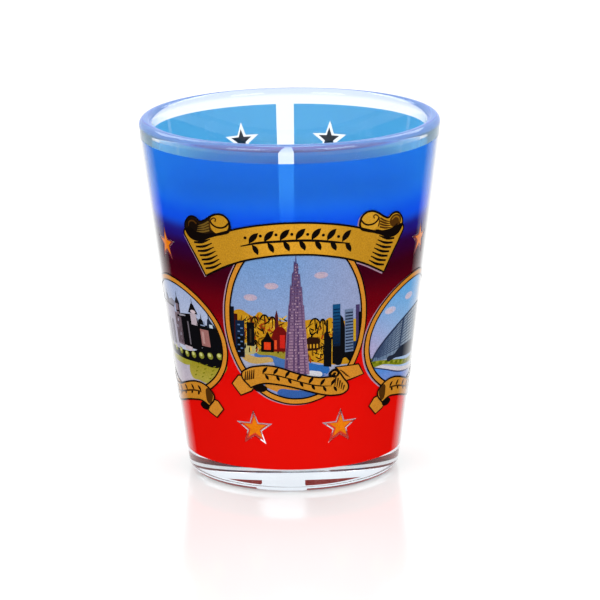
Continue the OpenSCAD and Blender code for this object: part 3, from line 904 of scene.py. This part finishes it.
def old_town():
    """The yellow old town and the towers round it."""
    art = Ink(PICTURE_LOW + 0.016)
    left_half = [
        (-10.1, 24.0, True), (-11.0, 26.6), (-11.4, 29.0), (-11.4, 30.8), (-10.4, 31.7), (-9.2, 32.0),
        (-8.0, 31.4), (-7.0, 31.0), (-6.0, 31.8), (-5.0, 31.1), (-3.8, 31.0), (-2.6, 30.3),
        (-1.0, 30.2, True), (-1.0, 24.4, True), (-6, 24.8)]
    right_half = [
        (1.0, 30.3, True), (2.8, 30.5), (4.4, 30.1), (5.6, 30.6), (6.4, 29.8, True), (10.4, 29.8, True),
        (10.4, 24, True), (8.6, 22.2, True), (5.6, 22.4), (3.4, 22.9), (1.0, 23.4, True)]
    art.fill(YELLOW, left_half)
    art.fill(YELLOW, right_half)
    art.fill(ink(196, 182, 120), [(-9, 25.9), (-7, 26.1), (-6.2, 25.2), (-7, 24.5), (-9, 24.6)], level=1)
    art.fill(ink(160, 146, 48), [(-6.6, 25.0), (-4, 24.9), (-1.2, 24.7), (-1.2, 24.0), (-4, 24.3)], level=1)
    brush = random.Random(12)
    spots = [(brush.uniform(-9.6, -1.8), brush.uniform(25.2, 30.9)) for _ in range(120)]
    spots += [(brush.uniform(1.5, 9.6), brush.uniform(23.2, 29.9)) for _ in range(130)]
    for x, z in spots:
        angle = math.radians(brush.choice((90, 80, 100, 35, 145)) + brush.uniform(-14, 14))
        reach = brush.uniform(0.25, 0.8)
        tint = brush.choice(TOWN_INKS)
        bow = brush.uniform(-0.15, 0.15)
        along, up = reach * math.cos(angle), reach * math.sin(angle)
        mark = [(x - along, z - up), (x + bow, z), (x + along, z + up)]
        art.stroke(tint, mark, brush.uniform(0.16, 0.3), level=1, ends=0.4)
    for x, z, half in TOWN_ROOFS:
        roof = [
            (x - half, z - 0.5), (x - half * 0.6, z + 0.4), (x, z + 0.7), (x + half * 0.6, z + 0.4),
            (x + half, z - 0.5)]
        art.stroke(BLACK, roof, 0.26, level=3, ends=0.4, start=0.4)
        art.stroke(BLACK, [(x, z + 0.6), (x + 0.1, z - 1.2)], 0.2, level=3, ends=0.5)
    far_left = corners((-11.6, 32.4), (-11.5, 29), (-11.1, 26.8), (-10.4, 24.4), (-10.4, 32.4))
    art.fill(ink(14, 20, 34), far_left, level=4)
    art.box(ink(66, 16, 12), -10.4, 0.6, 25, 31.2, level=4)
    art.box(NAVY, -10.2, 1.6, 23.7, 30.1, level=5)
    art.box(NIGHT, -9.9, 1.2, 23.9, 27.6, level=6)
    for i in range(9):
        art.box(ink(96, 128, 176), -9.8 + 0.5 * (i % 2), 0.42, 24.6 + 0.58 * i, 24.82 + 0.58 * i, level=7)
    art.box(NIGHT, -8.2, 1.3, 25.8, 29.9, level=4)
    art.box(ink(52, 44, 30), -7.7, 0.3, 26.4, 28.8, level=5)
    spire = corners((-3.6, 26), (-2.8, 26), (-2.95, 31.2), (-3.2, 32.2), (-3.45, 31.2))
    art.fill(ink(88, 28, 32), spire, level=4)
    dome = [(-3.8, 25, True), (-3.8, 28.4), (-2.9, 29.3), (-1.9, 28.9), (-1.5, 25, True)]
    art.fill(ink(116, 18, 16), dome, level=5)
    art.box(ink(218, 40, 30), -2.7, 0.8, 25.6, 27.9, level=6)
    art.box(ink(240, 84, 40), -3.6, 0.4, 25.4, 27.0, level=6)
    gate = corners(
        (-5.8, 24.9), (-5.8, 26.8), (-5.2, 27.4), (-4.7, 28.5), (-4.2, 27.4), (-3.7, 26.8), (-3.7, 24.9))
    art.fill(BLACK, gate, level=6)
    art.box(ink(238, 66, 26), -5.3, 1.1, 25.3, 26.6, level=7)
    market = corners((1.3, 25), (1.3, 26.9), (2.1, 27.5), (3.5, 27.3), (3.8, 26.6), (3.8, 25.2))
    art.fill(ink(46, 22, 12), market, level=4)
    for i in range(4):
        art.box(ink(222, 160, 40), 1.6 + 0.55 * i, 0.25, 25.5, 26.2, level=5)
    slim_tower = corners(
        (4.4, 22.2), (4.5, 27.9), (4.8, 28.2), (4.9, 30.2), (5.2, 30.2), (5.2, 28.0), (5.8, 26.6),
        (5.7, 22.0))
    art.fill(NIGHT, slim_tower, level=4)
    dark_blocks = [
        (5.9, 22.6, True), (5.9, 28, True), (7.0, 28.4), (8.0, 28.6), (8.6, 27), (9.4, 24.6),
        (10.2, 24, True), (9.2, 22.6), (8.0, 23.4), (7.2, 22.2)]
    art.fill(NIGHT, dark_blocks, level=4)
    art.box(fade(27, ink(12, 26, 48), 31, ink(20, 84, 134)), 6.0, 1.3, 25.5, 32.8, level=5)
    windows(art, ink(10, 40, 76), 6.1, 1.1, 26, 32.4, 11, 6, 0.35)
    art.fill(NIGHT, corners((7.3, 25), (7.3, 30.9), (7.8, 30.3), (8.1, 28.6), (8.3, 25)), level=6)
    art.box(ink(112, 132, 164), 8.1, 1.5, 24.3, 31.7, level=7)
    windows(art, ink(36, 48, 74), 8.2, 1.35, 24.6, 31.5, 13, 8, 0.45)
    art.box(ink(212, 168, 36), 9.65, 0.5, 26, 29.9, level=6)
    art.box(ink(24, 46, 84), 9.6, 0.7, 24.4, 26.4, level=6)
    art.box(ink(76, 62, 108), 10.1, 0.7, 26, 32.3, level=7)
    art.fill(NIGHT, corners((10.6, 25.1), (11.1, 26.8), (11.5, 29), (11.55, 31), (10.6, 31)), level=8)
    finish(art.bend(), "old_town", INKS["skyline_ink"], "skyline_ink", "main_skyline")


# The tower's tiers as (half width, height of the foot)
TIERS = [(2.05, 21.0), (1.75, 25.5), (1.45, 29.0), (1.1, 33.0), (0.75, 36.2), (0.38, 38.4), (0.12, 40.2)]


def needle_tower():
    """The tall stepped tower, with a dark core, ragged floors and rows of tiny windows."""
    art = Ink(PICTURE_LOW + 0.052)
    brush = random.Random(5)
    last = len(TIERS) - 1
    right = []
    for i in range(last):
        right += [TIERS[i], (TIERS[i][0] * 0.86, TIERS[i + 1][1])]
    right += [TIERS[last], (0.02, 41.7)]
    left = [(half, foot + 0.5 * (i % 4 > 1)) for i, (half, foot) in enumerate(right)]
    body = fade(26, ink(158, 122, 150), 40, ink(78, 70, 122))
    art.fill(body, corners(*right, *mirrored(left)))
    for i in range(last):
        half, foot = TIERS[i]
        high = TIERS[i + 1][1]
        for x, wide in ((-0.95, 0.22), (-0.3, 0.14), (0.05, 0.2), (0.62, 0.1)):
            recess = corners((half * x, foot), (half * (x + wide), foot),
                             (half * (x + wide) * 0.88, high), (half * x * 0.88, high))
            art.fill(ink(88, 62, 104), recess, level=1)
        rows = max(round((high - foot) / 0.5), 2)
        for row in range(rows):
            z = foot + (high - foot) * row / rows
            art.box(ink(110, 80, 114), -half * 0.85, half * 1.7, z, z + 0.14, level=2)
            for _ in range(3):
                x = brush.uniform(-0.8, 0.65) * half
                tint = brush.choice((ink(192, 160, 180), ink(178, 142, 166), ink(84, 58, 96)))
                art.box(tint, x, 0.2, z + 0.18, z + 0.38, level=3)
    finish(art.bend(), "needle_tower", INKS["tower_ink"], "tower_ink", "main_tower")


# ---------------------------------------------------------------- the side pictures


def side_panel(prefix, turn, paint):
    """A side medallion's panel, painted by one of the functions below."""
    art = Ink(PICTURE_LOW)
    paint(art)
    finish(art.bend(turn), prefix + "_panel", INKS["picture_ink"], "picture_ink", prefix + "_picture")


def park(art):
    """Behind the palace: a pale sky, a row of clipped trees, a lawn and a path."""
    art.fill(fade(24, ink(206, 214, 236), 34, ink(176, 192, 232)), ring(SIDE, FRAME_LINE / 2))
    court = [
        (-11.2, 22.4), (0, 22.2), (11.2, 22.4), (9.4, 18.9), (5.6, 16.5), (0, 15.6), (-5.6, 16.5),
        (-9.4, 18.9)]
    art.fill(fade(17, ink(214, 202, 216), 22, ink(188, 184, 200)), court, level=1)
    lawn = [(3.2, 21.3), (6, 21.6), (11.4, 22.4), (10.2, 19.6), (8.4, 18.0), (5, 18.2), (2.6, 18.6)]
    art.fill(fade(18, ink(192, 178, 76), 21.5, ink(166, 152, 34)), lawn, level=2)
    for i in range(14):
        x, z = 3.8 + 0.45 * i, 18.9 + 0.75 * (i * 5 % 4)
        art.stroke(ink(130, 130, 20), [(x, z), (x + 0.5, z + 0.25)], 0.24, level=2, ends=0.5)
    verge = [(-10.6, 21.9), (-4, 21.0), (3.2, 21.2), (3.0, 20.6), (-4, 20.1), (-9.6, 20.6)]
    art.fill(ink(176, 170, 60), verge, level=2)
    hedge = [
        (-11.2, 23.4, True), (-3.4, 22.7), (3, 22.9), (11.4, 24.2), (11.6, 22.4), (4, 21.3), (-4, 21.3),
        (-11.2, 22.2, True)]
    art.fill(NIGHT, hedge, level=3)
    for i in range(-6, 5):
        x, z = 2.2 + 2.05 * i, 22.3 + 0.24 * i * (1 if i > 0 else -0.45)
        art.blob(ink(146, 148, 52), x, z, 1.2, 1.15, level=5)
        art.blob(ink(214, 214, 134), x - 0.1, z + 0.14, 0.7, 0.6, level=6)


def palace():
    """Palace blocks in dark stone, with pink walls and small domes."""
    art = Ink(PICTURE_LOW + 0.024)
    stone, pink, pale = ink(142, 122, 134), ink(172, 116, 112), ink(190, 184, 204)
    far_wing = corners((-9.6, 22.6), (-9.6, 28.2), (-6.8, 29.6), (-3.6, 30.0), (-0.2, 30.0), (-0.2, 22.6))
    art.fill(pale, far_wing)
    art.fill(ink(150, 148, 166), corners((-5, 29.9), (-1, 31.2), (0.4, 30.8), (-0.4, 29.9)), level=1)
    art.box(stone, -0.4, 2.3, 23.6, 29.0, level=1)
    art.box(NIGHT, 1.8, 4.8, 23.6, 29.2, level=2)
    art.fill(NIGHT, corners((0.6, 29.0), (5.0, 29.7), (5.0, 28.9), (0.6, 28.4)), level=2)
    art.stroke(ink(168, 166, 178), [(1.4, 28.9), (3.4, 29.1)], 0.4, level=3, ends=0.5)
    art.box(ink(120, 112, 122), 3.7, 0.35, 24.2, 28.2, level=4)
    art.box(ink(202, 186, 196), 4.9, 1.5, 27.9, 30.0, level=4)
    art.fill(NIGHT, [(4.4, 29.9, True), (5.0, 30.9), (5.6, 31.6), (6.3, 30.8), (6.8, 29.9, True)], level=5)
    art.blob(ink(226, 206, 214), 5.7, 30.2, 1.3, 0.6, level=6)
    art.box(NIGHT, 6.2, 2.8, 24.2, 28.3, level=4)
    art.box(pink, 6.9, 1.9, 24.6, 27.5, level=5)
    art.box(ink(198, 152, 148), 7.2, 0.5, 25.0, 27.1, level=6)
    art.box(ink(150, 166, 200), 7.2, 1.0, 28.1, 28.9, level=5)
    art.fill(NIGHT, [(6.6, 28.3, True), (6.9, 29.1), (7.6, 29.2), (8.0, 28.3, True)], level=6)
    art.box(NIGHT, 8.9, 2.3, 24.0, 28.0, level=5)
    end_roof = corners((8.6, 28), (8.9, 29.4), (9.2, 29.7), (9.6, 29.1), (10.2, 28.5), (10.6, 28))
    art.fill(ink(34, 40, 60), end_roof, level=6)
    art.box(ink(206, 220, 232), 9.2, 0.7, 28.0, 28.6, level=7)
    art.box(ink(212, 196, 206), 2.0, 2.2, 23.1, 23.8, level=5)
    for x, z in ((0.0, 28.8), (0.55, 28.6), (1.1, 28.9), (1.6, 28.7), (3.2, 28.6), (6.55, 27.8)):
        art.stroke(BLACK, [(x, 23.9), (x, z)], 0.2, level=5, ends=0.6)
    for x, z in ((0.0, 26.4), (0.9, 25.2), (0.6, 27.6)):
        art.box(pale, x, 0.35, z, z + 0.5, level=6)
    art.box(stone, 0.45, 1.3, 28.8, 30.8, level=4)
    art.stroke(BLACK, [(0.45, 29.4), (1.75, 29.5)], 0.24, level=5)
    art.stroke(BLACK, [(1.5, 29.0), (1.5, 30.7)], 0.3, level=5)
    cap = [(0.3, 30.7, True), (0.6, 31.3), (1.1, 31.8), (1.6, 31.3), (1.9, 30.7, True)]
    art.fill(ink(40, 38, 46), cap, level=5)
    for x, z in ((1.1, 31.7), (5.65, 31.4), (7.5, 29.1), (9.2, 29.5)):
        art.stroke(NIGHT, [(x, z), (x, z + 1.1)], 0.2, level=5, ends=0.2)
    shade = ink(70, 64, 80)
    archway = [(0, 23.2, True), (0, 26.6, True), (0.5, 27.5), (1.0, 26.6, True), (1.0, 23.2, True)]
    for x in (-8.8, -7.2, -5.6, -4.0, -2.4):
        art.fill(shade, shifted(archway, x, 0), level=1)
        art.box(pale, x + 0.4, 0.2, 23.2, 26.8, level=2)
    art.stroke(shade, [(-9.5, 28.1), (-6.8, 29.5), (-3.6, 29.9), (-0.4, 29.9)], 0.3, level=2)
    dome = [(-0.9, 0, True), (-0.5, 1.0), (0, 1.6), (0.5, 1.0), (0.9, 0, True)]
    for x, z in ((-7.0, 29.4), (-3.4, 29.9)):
        art.fill(ink(96, 88, 106), shifted(dome, x, z), level=3)
        art.stroke(NIGHT, [(x, z + 1.4), (x, z + 2.5)], 0.2, level=4, ends=0.2)
    finish(art.bend(-STEP_DEG), "palace_blocks", INKS["palace_ink"], "palace_ink", "left_palace")


def shore(art):
    """Behind the hall: a bright sky with two clouds, a hedge, a road and the water."""
    def sky(x, z):
        low = blend((x + 11) / 8, ink(186, 176, 218), ink(176, 206, 246))
        return blend((z - 24) / 9, low, ink(112, 184, 244))
    art.fill(sky, ring(SIDE, FRAME_LINE / 2))
    for x, z in ((-7.2, 30.0), (-1.8, 31.4)):
        art.blob(ink(206, 206, 236), x, z, 2.8, 1.2, level=1)
        art.blob(ink(222, 206, 222), x - 0.2, z - 0.1, 1.8, 0.7, level=2)
    water = [
        (-10.9, 21.4), (-8, 20.6), (-2, 19.0), (4, 18.0), (8.2, 17.8), (5, 16.3), (0, 15.6), (-5, 16.3),
        (-8.8, 18.4)]
    art.fill(fade(17, ink(138, 158, 228), 20, ink(92, 152, 236)), water, level=1)
    road = [
        (-10.9, 21.4), (-7, 20.5), (-1.5, 19.1), (5, 18.2), (8.6, 18.2), (8, 17.6), (5, 17.5), (-2, 18.4),
        (-7, 19.9), (-10.7, 21.0)]
    art.fill(ink(228, 222, 230), road, level=2)
    art.stroke(ink(58, 70, 120), [(-11, 21.0), (-7, 19.85), (-2, 18.35), (5, 17.45)], 0.22, level=3)
    hedge = [
        (-11.1, 22.1), (-8, 21.6), (-4, 20.9), (0.5, 20.0), (9.6, 19.4), (9.2, 18.8), (4, 18.9), (-2, 19.5),
        (-7, 20.7), (-11.2, 21.3)]
    art.fill(ink(134, 140, 24), hedge, level=3)
    for i in range(20):
        x = -10.4 + 0.75 * i
        z = 21.55 - 0.185 * (x + 10.4) + 0.12 * (i % 3)
        art.blob(ink(104, 116, 12) if i % 2 else ink(164, 166, 52), x, z, 0.8, 0.42, level=4)


ROOF_RISE = 1.4  # above 1, the roof's low end starts off flat


def hall():
    """The long hall with a curved roof, its ribs and its dark footing."""
    art = Ink(PICTURE_LOW + 0.028)
    foot, left, half, high = 21.8, -10.2, 14.5, 7.3

    def roof(angle, drop=0.0):
        """A point on the roof line, or on a rib that lies lower at its high end."""
        turn = math.radians(angle)
        return (left + half * (1 - math.cos(turn)), foot + (high - drop) * math.sin(turn) ** ROOF_RISE)

    def slate(x, z):
        return blend((x + 8) / 9, ink(108, 132, 164), ink(166, 182, 196))
    edge = [roof(a) for a in (0, 15, 30, 45, 60, 75, 90)]
    low_edge = [(4.6, foot - 1.6, True), (-4, 21.3, True)]
    art.fill(slate, [(*edge[0], True), *edge[1:-1], (*edge[-1], True), *low_edge])
    for i in range(1, 11):
        rib = [roof(a, 0.6 * i) for a in (4 + 2 * i, 35, 60, 90)]
        art.stroke(ink(62, 78, 112), rib, 0.17, level=1, ends=0.7)
    for i in range(13):
        x, z = roof(17 + 5.6 * i)
        art.stroke(ink(70, 88, 120), [(x, z), (x + 0.1, foot)], 0.13, level=1, ends=0.8)
    art.stroke(ink(44, 58, 88), edge, 0.34, level=2, ends=0.7)
    art.fill(ink(66, 82, 110), corners((-3.5, foot), (-2.9, foot), (-2.6, 28.0), (-3.2, 27.8)), level=3)
    footing = [
        (-6.6, 21.5), (-4.6, 22.0), (-3.4, 22.7), (0, 22.9), (4.3, 22.6, True), (4.3, 20.5, True),
        (0, 20.7), (-4, 21.2)]
    art.fill(ink(38, 46, 62), footing, level=4)
    finish(art.bend(STEP_DEG), "curved_hall", INKS["hall_ink"], "hall_ink", "right_hall")


# The lower edge of a side medallion's picture, inside its oval
LOWER_EDGE = [(9.2, 18.7), (5.4, 16.4), (0, 15.6), (-5.4, 16.4), (-9.2, 18.7)]


def dunes(art):
    """A quiet guess for the picture behind: dunes, two palms and a low sun."""
    art.fill(fade(20, ink(250, 214, 150), 33, ink(126, 178, 230)), ring(SIDE, FRAME_LINE / 2))
    art.blob(ink(250, 232, 170), 4.0, 27.4, 3.0, 3.0, level=1)
    far_dune = [(-11.4, 23.4), (-6, 25.4), (-1, 23.6), (4, 24.8), (11.3, 22.8), *LOWER_EDGE]
    art.fill(ink(222, 168, 92), far_dune, level=2)
    near_dune = [
        (-10.6, 21), (-4, 22.2), (1, 19.8), (7, 21.6), (10, 20.2), (8, 17.6), (4.6, 16.2), (0, 15.6),
        (-4.6, 16.2), (-8.4, 18)]
    art.fill(ink(190, 128, 60), near_dune, level=3)
    for x, z in ((-6.2, 29.2), (-3.6, 27.6)):
        art.stroke(ink(86, 58, 30), [(x + 0.6, 21.6), (x + 0.2, 25), (x, z)], 0.42, level=5, ends=0.6)
        for i in range(7):
            angle = math.radians(-20 + 36.7 * i)
            tip = (x + 2.0 * math.cos(angle), z + 1.2 * math.sin(angle) - 0.3)
            bow = ((x + tip[0]) / 2, (z + tip[1]) / 2 + 0.45)
            art.stroke(ink(58, 92, 34), [(x, z), bow, tip], 0.36, level=6, ends=0.2)


def bay(art):
    """A quiet guess for the other picture behind: a sailing boat in a bay."""
    art.fill(fade(22, ink(214, 224, 240), 33, ink(118, 178, 238)), ring(SIDE, FRAME_LINE / 2))
    hills = [
        (-11.4, 23.4), (-8, 25.2), (-4, 24.2), (0, 25.8), (5, 24.0), (11.4, 25.0), (11, 22), (-11, 22)]
    art.fill(ink(150, 158, 190), hills, level=1)
    water = [(-11.2, 23, True), (11.2, 23, True), *LOWER_EDGE]
    art.fill(fade(16, ink(34, 88, 160), 23, ink(86, 150, 214)), water, level=2)
    mainsail = [(-0.2, 22.2, True), (0.2, 31.6, True), (2.6, 27), (4.4, 22.4, True)]
    art.fill(ink(244, 240, 228), mainsail, level=3)
    foresail = [(-0.6, 22.2, True), (-0.6, 29.4, True), (-2.2, 25.4), (-3.6, 22.4, True)]
    art.fill(ink(230, 218, 196), foresail, level=3)
    art.fill(ink(104, 62, 32), [(-4.6, 22.2, True), (5.2, 22.2, True), (3.6, 20.4), (-3.0, 20.4)], level=4)
    for i in range(9):
        x, z = -8 + 2 * i, 18.2 + 0.8 * (i * 2 % 3)
        art.stroke(ink(170, 206, 236), [(x, z), (x + 0.8, z + 0.15), (x + 1.6, z)], 0.2, level=3, ends=0.3)


# ---------------------------------------------------------------- camera, floor and light

LENS, SENSOR = 229.1, 36  # millimetres
CAMERA_TURN = math.radians(-1.8)
CAMERA_RISE = 0.2446  # radians above level
CAMERA_AWAY = 0.620  # metres
MIDDLE = Vector((0, 0, 0.030))  # of the glass
CAMERA_AIM = Vector((1.35 * MM, -1.54 * MM, 0))  # how far it aims to the right of the middle and above it
CAMERA_LEAN = -0.0132  # radians


def make_camera():
    """A long lens that looks down a little on the middle of the glass."""
    data = bpy.data.cameras.new("camera")
    data.lens, data.sensor_width = LENS, SENSOR
    data.clip_start, data.clip_end = 0.05, 20
    camera = bpy.data.objects.new("camera", data)
    bpy.context.scene.collection.objects.link(camera)
    bpy.context.scene.camera = camera
    rise = MIDDLE.z + CAMERA_AWAY * math.tan(CAMERA_RISE)
    eye = Vector((CAMERA_AWAY * math.sin(CAMERA_TURN), -CAMERA_AWAY * math.cos(CAMERA_TURN), rise))
    facing = (MIDDLE - eye).to_track_quat("-Z", "Y").to_matrix()
    target = MIDDLE + facing @ CAMERA_AIM
    facing = (target - eye).to_track_quat("-Z", "Y").to_matrix()
    lean = Matrix.Rotation(CAMERA_LEAN, 3, "Z")
    camera.matrix_world = Matrix.Translation(eye) @ (facing @ lean).to_4x4()


TABLE_GREY = 0.50
TABLE_GLOW = 0.31
TABLE_HALF = 4.0  # metres


def make_floor():
    """A pale table that glows softly from below, with a slight gloss."""
    material, _, _, shader = new_material("white_table")
    shader.inputs["Base Color"].default_value = grey(TABLE_GREY)
    shader.inputs["Emission Color"].default_value = grey(1.0)
    shader.inputs["Emission Strength"].default_value = TABLE_GLOW
    shader.inputs["Roughness"].default_value = 0.12
    bm = bmesh.new()
    bmesh.ops.create_grid(bm, x_segments=4, y_segments=4, size=TABLE_HALF)
    mesh = bpy.data.meshes.new("table_top")
    bm.to_mesh(mesh)
    bm.free()
    mesh.materials.append(material)
    floor = bpy.data.objects.new("table_top", mesh)
    bpy.context.scene.collection.objects.link(floor)


# Soft lights as (name, degrees from the front, metres away, height of its middle in metres, radiance)
LIGHTS = [
    ("left_front_light", -38, 0.9, 0.62, 5.7), ("left_back_light", -140, 0.8, 0.75, 4.0),
    ("right_front_light", 38, 0.9, 0.62, 5.7), ("right_back_light", 140, 0.8, 0.75, 4.0)]
LIGHT_SIDE = 0.5  # metres
WORLD_LIGHT = 0.97
BOUNCES = 24


def area_light(name, azimuth, away, middle, radiance):
    """A square soft light that faces the glass."""
    data = bpy.data.lights.new(name, "AREA")
    data.shape, data.size, data.size_y = "RECTANGLE", LIGHT_SIDE, LIGHT_SIDE
    data.energy = radiance * math.pi * LIGHT_SIDE * LIGHT_SIDE
    lamp = bpy.data.objects.new(name, data)
    bpy.context.scene.collection.objects.link(lamp)
    turn = math.radians(azimuth)
    place = Vector((away * math.sin(turn), -away * math.cos(turn), middle))
    lamp.location = place
    lamp.rotation_euler = (MIDDLE - place).to_track_quat("-Z", "Y").to_euler()


def make_light():
    """An even white studio with two soft lights in front and two behind."""
    world = bpy.data.worlds.new("studio")
    bpy.context.scene.world = world
    world.use_nodes = True
    world.node_tree.nodes["Background"].inputs["Color"].default_value = (1, 1, 1, 1)
    world.node_tree.nodes["Background"].inputs["Strength"].default_value = WORLD_LIGHT
    for light in LIGHTS:
        area_light(*light)


def set_look():
    """True colours, and enough bounces for light to find its way through the glass."""
    scene = bpy.context.scene
    scene.view_settings.view_transform = "Standard"
    scene.cycles.max_bounces = BOUNCES
    scene.cycles.transmission_bounces = BOUNCES
    scene.cycles.transparent_max_bounces = BOUNCES


# ---------------------------------------------------------------- the whole glass

make_camera()
make_floor()
make_light()
set_look()
INKS = {
    "gold_ink": printed("gold_ink", 0.26),
    # Painted shade: the stars' inner side is dark, as it lies in shade behind the opaque gold
    "star_gold_ink": printed("star_gold_ink", 0.26, back=ink(44, 52, 62)),
    "black_ink": printed("black_ink", 0.3)}
for name in ("picture_ink", "tower_ink", "skyline_ink", "palace_ink", "hall_ink"):
    INKS[name] = printed(name)
glass_body()
background_print()
for key in STARS:
    star(key)
banner_band()
curl("left")
curl("right")
banner_hatching()
leaf_spray()
banner_lines()
main_panel()
old_town()
needle_tower()
frame_ring("main", 0, MAIN)
ribbon("main", 0, False, MAIN_BAND, MAIN_TAILS, (-7.6, 19.0), (6.2, 20.6))
main_ribbon_marks()
palace()
hall()
for prefix, turn, paint in (("left", -STEP_DEG, park), ("right", STEP_DEG, shore),
                            ("back_left", -2 * STEP_DEG, dunes), ("back_right", 2 * STEP_DEG, bay)):
    flip = prefix.endswith("left")
    side_panel(prefix, turn, paint)
    frame_ring(prefix, turn, SIDE)
    ribbon(prefix, turn, flip, SIDE_BAND, SIDE_TAILS, (-7.0, 14.4), (7.0, 16.0))
    side_flourish(prefix, turn, flip)
